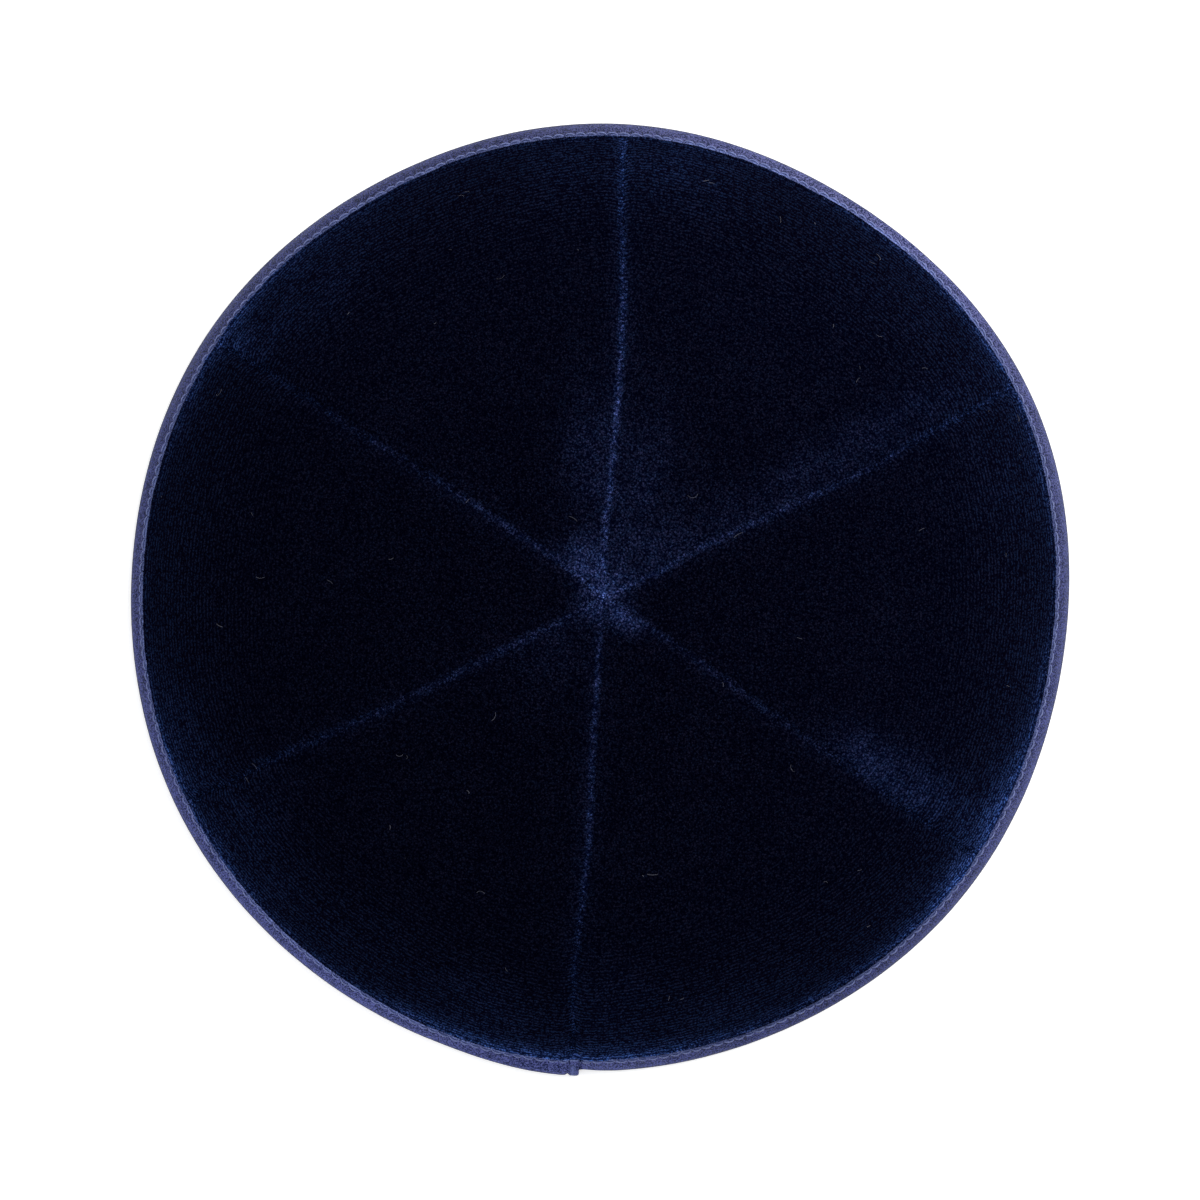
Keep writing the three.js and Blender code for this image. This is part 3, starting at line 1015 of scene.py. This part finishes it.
def strip_section(run):
    """Control points of the strip's closed section at each place along its run."""
    inner, outer, lift = strip_state(run)
    top = strip_height(run)
    pull = stitch_pull(run)
    slack = ring_noises(run, STRIP_SLACK) * MM

    def wall(height, stand_off):
        return wall_point(height, run, stand_off)

    def foot(stand_off, z, inwards=0.0):
        return foot_point(run, stand_off, z, inwards)

    stitch = top - STITCH_BELOW_EDGE
    thick = np.minimum(outer - inner, STRIP_THICKNESS)
    # Between two stitches the edge springs away from the velvet a little.
    sprung = 0.1 * MM * (1 - pull) + ring_noises(run, SPRUNG_EDGE) * MM
    lip_inner = STRIP_INNER + np.maximum(sprung, 0)
    lip_outer = lip_inner + LIP_SHARE * thick
    lip_height = top + LIP_RISE
    # The stitches draw the leather down to the pile, most of all at the needle holes.
    stitch_outer = STRIP_INNER + (PRESSED - 0.1 * pull) * thick
    # Inside the kippah the strip's other leg lies the same way against the back of the cloth.
    far_lip_inner = -WALL - lip_inner
    far_lip_outer = far_lip_inner - LIP_SHARE * thick
    far_stitch_outer = -WALL - stitch_outer
    far_inner = -WALL - inner
    far_outer = -WALL - outer
    points = [
        wall(lip_height, lip_outer - 0.13 * MM),
        wall(top - 0.22 * MM, lip_outer + 0.02 * MM),
        wall(stitch, stitch_outer - 0.05 * MM),
        wall(stitch - 0.4 * MM, stitch_outer + 0.03 * MM),
        wall(stitch - 1.2 * MM, 0.55 * stitch_outer + 0.45 * outer),
        wall(stitch - 2.2 * MM, outer - 0.04 * MM + slack),
        wall(0.4 * stitch, outer + 0.1 * MM + slack),
        foot(outer + 0.06 * MM, lift + 0.9 * MM),
        foot(outer, lift, 0.35 * MM),
        foot(outer, lift, 1.6 * MM),
        foot(far_outer, lift, -1.5 * MM),
        foot(far_outer, lift, -0.3 * MM),
        foot(far_outer, lift + 0.9 * MM),
        wall(0.5 * stitch, far_outer - 0.08 * MM + slack),
        wall(stitch - 1.0 * MM, 0.45 * far_stitch_outer + 0.55 * far_outer),
        wall(stitch, far_stitch_outer + 0.04 * MM),
        wall(top - 0.22 * MM, far_lip_outer),
        wall(lip_height, far_lip_outer + 0.13 * MM),
        wall(lip_height, far_lip_inner - 0.1 * MM),
        wall(top - 0.6 * MM, far_lip_inner),
        wall(0.5 * stitch, far_inner),
        foot(far_inner, lift + thick + 0.4 * MM),
        foot(far_inner, lift + thick, -0.4 * MM),
        foot(inner, lift + thick, 0.4 * MM),
        foot(inner, lift + thick + 0.4 * MM),
        wall(0.5 * stitch, inner),
        wall(top - 0.6 * MM, lip_inner),
        wall(lip_height, lip_inner + 0.1 * MM),
    ]
    return np.stack(points, axis=1)


def rounded(controls, samples):
    """A smooth closed section from its control points, as a uniform cubic spline."""
    rings = []
    for sample in range(samples):
        t = sample / samples
        weights = [
            (1 - t) ** 3,
            3 * t**3 - 6 * t**2 + 4,
            -3 * t**3 + 3 * t**2 + 3 * t + 1,
            t**3,
        ]
        rings.append(sum(w / 6 * np.roll(controls, 1 - k, axis=1) for k, w in enumerate(weights)))
    return np.stack(rings, axis=2).reshape(controls.shape[0], -1, 3)


def tube_faces(rings, sides):
    """The quads along a tube, without its ends."""
    ring = np.arange(sides)
    ahead = np.roll(ring, -1)
    corner = np.arange(rings - 1)[:, None] * sides
    quads = [corner + ring, corner + ahead, corner + sides + ahead, corner + sides + ring]
    return np.stack(quads, -1).reshape(-1, 4).tolist()


def strip_cap(ring):
    """Closes the strip's U-shaped end, between its outside and its inside."""
    far_top = FAR_TOP * SAMPLES_PER_CORNER
    return zip_strip(ring[: far_top + 1], [ring[0], *ring[:far_top:-1]])


def make_binding():
    """The leather strip, folded round the gores' lower edge, with its last end over its first."""
    even = np.linspace(RUN_START, RUN_END, STITCHES * COLUMNS_PER_STITCH + 1)
    rounded_end = RUN_END - np.array([0.32, 0.2, 0.1, 0.04, 0]) * MM / OUTER_RADIUS
    run = np.concatenate([even[:-1], rounded_end])
    sections = rounded(strip_section(run), SAMPLES_PER_CORNER)
    count, sides = sections.shape[:2]
    numbers = np.arange(count * sides).reshape(count, sides).tolist()
    faces = tube_faces(count, sides) + strip_cap(numbers[0]) + strip_cap(numbers[-1][::-1])

    height = sections[..., 2]
    top = height.max(axis=1, keepdims=True)
    edge = smooth_step(height, top - 0.6 * MM, top - 0.15 * MM)
    fold = smooth_step(top - height, 1.6 * MM, 3.6 * MM)
    foot = 1 - smooth_step(height, 1.0 * MM, 2.2 * MM)
    # Painted light and shade by angle round the rim: on the leather, in its blue, and on its edge
    tone, blue, line = (
        round_rim(STRIP_ROUND, run, column)[:, None] for column in ("shade", "blue", "line")
    )
    # A painted shadow darkens the strip near the ground.
    tone = tone * (1 - FOOT_PAINTED_SHADOW * foot)
    shade = np.stack([tone, tone * blue**0.3, tone * blue], -1)
    # The lap's end is made lighter, like the edge.
    from_end = (RUN_END - run[:, None]) * OUTER_RADIUS
    below_edge = smooth_step(top - height, 0.8 * MM, 1.8 * MM)
    lighter_end = hump(from_end - 1.1 * MM, 0.5 * MM) * below_edge
    attributes = {
        "edge": np.maximum(edge, lighter_end).ravel(),
        "fold": fold.ravel(),
        "shade": shade.reshape(-1, 3),
        "line": np.repeat(line.ravel(), sides),
    }
    points = sections.reshape(-1, 3)
    piece = make_mesh(
        "rim_binding_strip", points, faces, [LEATHER], None, attributes, sharp=radians(60)
    )
    place(piece, "binding", "rim_binding")


make_binding()


def unit(vectors):
    """The vectors' directions."""
    return vectors / np.linalg.norm(vectors, axis=-1, keepdims=True)


def repeated(faces, count, size):
    """The faces of count shapes that have the same faces and size points each."""
    return [[corner + k * size for corner in face] for k in range(count) for face in faces]


def tubes(paths, radii, sides):
    """Closed tubes along many paths at once (paths, points, 3), each end closed to a point."""
    count, points = paths.shape[:2]
    ahead = unit(np.gradient(paths, axis=1))
    side = unit(np.cross(ahead, paths - HOLLOW_MIDDLE))
    up = np.cross(side, ahead)
    turn = np.arange(sides)[:, None] / sides * TURN
    radii = np.broadcast_to(radii, (count, points))[..., None, None]
    ring = side[:, :, None] * np.cos(turn) + up[:, :, None] * np.sin(turn)
    verts = paths[:, :, None] + radii * ring
    size = points * sides
    verts = np.concatenate([verts.reshape(count, size, 3), paths[:, [0, -1]]], axis=1)
    faces = tube_faces(points, sides)
    for k in range(sides):
        after = (k + 1) % sides
        faces.append((after, k, size))
        faces.append((size - sides + k, size - sides + after, size + 1))
    return verts.reshape(-1, 3), repeated(faces, count, size + 2)


def make_stitches(name, outside):
    """A lockstitch round the binding: each stitch rises from one needle hole into the next."""
    start = np.arange(STITCHES_UNDER_LAP if outside else 1, STITCHES - 1)[:, None]
    whole_run = np.linspace(RUN_START, RUN_END, 20 * STITCHES)
    run = np.interp(start + STITCH_SHARES, stitch_count(whole_run), whole_run)
    inner, outer, _ = strip_state(run)
    level = strip_height(run) + STITCH_PULL * stitch_pull(run) - STITCH_BELOW_EDGE
    stitch_outer = STRIP_INNER + PRESSED * np.minimum(outer - inner, STRIP_THICKNESS)
    uneven = rng.normal(0, 0.05, (len(start), 1)) * MM
    slant = (0.5 - STITCH_SHARES) * (STITCH_SLANT if outside else STITCH_SLANT_INSIDE)
    arch = np.sin(math.pi * STITCH_SHARES) ** 0.6
    rise = STITCH_RISE - STITCH_SINKS * (1 - arch)
    stand_off = stitch_outer + rise if outside else -WALL - stitch_outer - rise
    paths = wall_point(level + slant + uneven, run, stand_off)
    points, faces = tubes(paths, THREAD_RADIUS * THREAD_SHARES, THREAD_SIDES)
    # Painted light and shade on the thread by angle round the rim
    line = round_rim(STRIP_ROUND, run, "line")
    line = np.concatenate([np.repeat(line, THREAD_SIDES, axis=1), line[:, [0, -1]]], axis=1)
    piece = make_mesh(name, points, faces, [THREAD], None, {"line": line.ravel()})
    place(piece, "binding")


make_stitches("stitches_outside", True)
make_stitches("stitches_inside", False)


def spikes(roots, tips, radii):
    """Closed three-sided spikes, each bending half way from root to tip."""
    count = len(roots)
    ahead = unit(tips - roots)
    length = np.linalg.norm(tips - roots, axis=1, keepdims=True)
    side = unit(np.cross(ahead, rng.normal(size=(count, 3))))
    up = np.cross(side, ahead)
    bend = SPIKE_BEND * rng.normal(size=(count, 1)) * length
    middle = (roots + tips) / 2 + bend * up
    turn = np.arange(3)[:, None] / 3 * TURN
    ring = side[:, None] * np.cos(turn) + up[:, None] * np.sin(turn)
    ring = ring * np.broadcast_to(radii, count)[:, None, None]
    points = [roots[:, None] + ring, middle[:, None] + 0.8 * ring, tips[:, None]]
    faces = [(0, 1, 4, 3), (1, 2, 5, 4), (2, 0, 3, 5), (3, 4, 6), (4, 5, 6), (5, 3, 6), (2, 1, 0)]
    return np.concatenate(points, axis=1).reshape(-1, 3), repeated(faces, count, SPIKE_POINTS)


def make_pile(name, points, faces, nap_sheen):
    """A piece of spikes of velvet pile, each with its own painted sheen of the nap."""
    nap_sheen = np.repeat(nap_sheen, SPIKE_POINTS)
    place(make_mesh(name, points, faces, [VELVET], None, {"nap_sheen": nap_sheen}), "velvet")


def make_edge_pile():
    """The pile that springs out over the binding's edge all round."""
    count = EDGE_PILE_COUNT
    angle = np.linspace(0, TURN, count, endpoint=False) + rng.normal(0, 0.002, count)
    run = np.where(angle < RUN_START, angle + TURN, angle)
    height = strip_height(np.where(run < LAP_END, run + TURN, run))
    height = height + rng.uniform(-0.15, 1.1, count) * MM
    root = wall_point(height, angle, PILE_ROOT)
    length = rng.uniform(0.45, 0.95, count) * MM
    lean = rng.uniform(0.15, 1.0, count)
    sideways = rng.normal(0, 0.3, count) * length / OUTER_RADIUS
    stand_off = PILE_ROOT + length * (1.15 - 0.45 * lean)
    tip = wall_point(height - length * lean * 0.8, angle + sideways, stand_off)
    points, faces = spikes(root, tip, rng.uniform(0.05, 0.085, count) * MM)
    # The spikes carry the painted sheen of the velvet above the binding.
    patchy = np.clip(1 + ring_noises(angle, EDGE_PILE_PATCHES), 0.2, 2)
    glow = 0.3 + 1.3 * round_rim(RIM_GLOW, angle, "lift")
    nap_sheen = NAP_SHEEN_SCALE * glow * patchy * rng.uniform(0.3, 1.5, count)
    make_pile("pile_over_binding", points, faces, nap_sheen)


def make_seam_pile():
    """The pile that springs out of the seams, where the cloth is turned in."""
    count = SEAM_PILE_COUNT
    roots, tips, naps = [], [], []
    for seam in SEAMS:
        arc = np.sort(rng.uniform(0.02, 0.97, count))
        radius = radius_at(arc)
        side = rng.choice([-1, 1], count)
        offset = side * rng.uniform(0.1, 0.75, count) * MM
        angle = seam_angle(seam, arc) + offset / radius
        depth = seam_dip(np.abs(offset)) - PILE_ROOT
        length = rng.uniform(0.35, 0.75, count) * MM
        drift = rng.normal(0, 0.35, (2, count)) * length
        roots.append(crown_point(arc, angle, depth))
        tip_arc = arc + drift[0] / LENGTH_PER_ARC
        tip_angle = angle + (drift[1] - 0.5 * offset) / radius
        tips.append(crown_point(tip_arc, tip_angle, depth - length))
        # The spikes carry their seam's painted sheen.
        glow = np.interp(radius / radius_at(1), GLOW_SHARES, seam["glow"])
        naps.append(NAP_SHEEN_SCALE * glow * rng.uniform(0.3, 1.7, count))
    points, faces = spikes(np.concatenate(roots), np.concatenate(tips), SEAM_PILE_RADIUS)
    make_pile("pile_along_seams", points, faces, np.concatenate(naps))


make_edge_pile()
make_seam_pile()


def make_lint():
    """A few loose fibres caught in the pile."""
    count = LINT_COUNT
    arc = np.sqrt(rng.uniform(0.01, 0.9, count))[:, None]
    angle = rng.uniform(0, TURN, count)[:, None]
    heading = rng.uniform(0, TURN, count)[:, None]
    bend = rng.uniform(-2.6, 2.6, count)[:, None]
    length = (rng.uniform(0.4, 1.0, count) ** 2 * LINT_LENGTH)[:, None]
    turn = heading + bend * np.linspace(-0.5, 0.5, LINT_STEPS)
    along = np.cumsum(np.cos(turn), axis=1) / LINT_STEPS * length
    beside = np.cumsum(np.sin(turn), axis=1) / LINT_STEPS * length
    paths = crown_point(arc + along / LENGTH_PER_ARC, angle + beside / radius_at(arc), -LINT_RAISED)
    points, faces = tubes(paths, rng.uniform(0.03, 0.05, (count, 1)) * MM, LINT_SIDES)
    place(make_mesh("lint_fibres", points, faces, [LINT]), "velvet")


make_lint()

# The white ground
FLOOR_HALF = 1.6
floor = bpy.data.meshes.new("floor")
corners = [(x * FLOOR_HALF, y * FLOOR_HALF, 0) for x, y in ((-1, -1), (1, -1), (1, 1), (-1, 1))]
floor.from_pydata(corners, [], [(0, 1, 2, 3)])
floor.materials.append(GROUND)
floor_object = bpy.data.objects.new("floor", floor)
bpy.context.scene.collection.objects.link(floor_object)

# One soft lamp that looks at the middle of the ground, and an even light from all round
LAMP_PLACE = (0.66, 0.56, 0.85)
LAMP_SIZE = 0.6
LAMP_POWER = 9.0
ROUND_LIGHT = (0.97, 0.98, 1.0, 1)
ROUND_STRENGTH = 0.85

light = bpy.data.lights.new("key", "AREA")
light.size = LAMP_SIZE
light.energy = LAMP_POWER
lamp = bpy.data.objects.new("key", light)
lamp.location = LAMP_PLACE
lamp.rotation_euler = (
    math.atan2(math.hypot(LAMP_PLACE[0], LAMP_PLACE[1]), LAMP_PLACE[2]),
    0,
    math.atan2(-LAMP_PLACE[0], LAMP_PLACE[1]) + math.pi,
)
bpy.context.scene.collection.objects.link(lamp)

world = bpy.data.worlds.new("studio")
world.use_nodes = True
background = world.node_tree.nodes["Background"]
connect(world.node_tree, background, {"Color": ROUND_LIGHT, "Strength": ROUND_STRENGTH})
bpy.context.scene.world = world

# The camera looks straight down. The kippah's middle and radius in the photograph are in pixels.
PHOTO_SIZE = 1200
PHOTO_CENTRE = (599.7, 596.9)
PHOTO_RADIUS = 471.4
CAMERA_HEIGHT = 1.0
METRES_PER_PIXEL = OUTER_RADIUS / PHOTO_RADIUS
SENSOR = 36.0

camera = bpy.data.cameras.new("camera")
camera.sensor_width = SENSOR
camera.lens = SENSOR * CAMERA_HEIGHT / (PHOTO_SIZE * METRES_PER_PIXEL)
camera.clip_start = 0.01
camera.clip_end = 10
viewer = bpy.data.objects.new("camera", camera)
viewer.location = (
    (PHOTO_SIZE / 2 - PHOTO_CENTRE[0]) * METRES_PER_PIXEL,
    (PHOTO_CENTRE[1] - PHOTO_SIZE / 2) * METRES_PER_PIXEL,
    CAMERA_HEIGHT,
)
bpy.context.scene.collection.objects.link(viewer)
bpy.context.scene.camera = viewer
bpy.context.scene.view_settings.view_transform = "Standard"
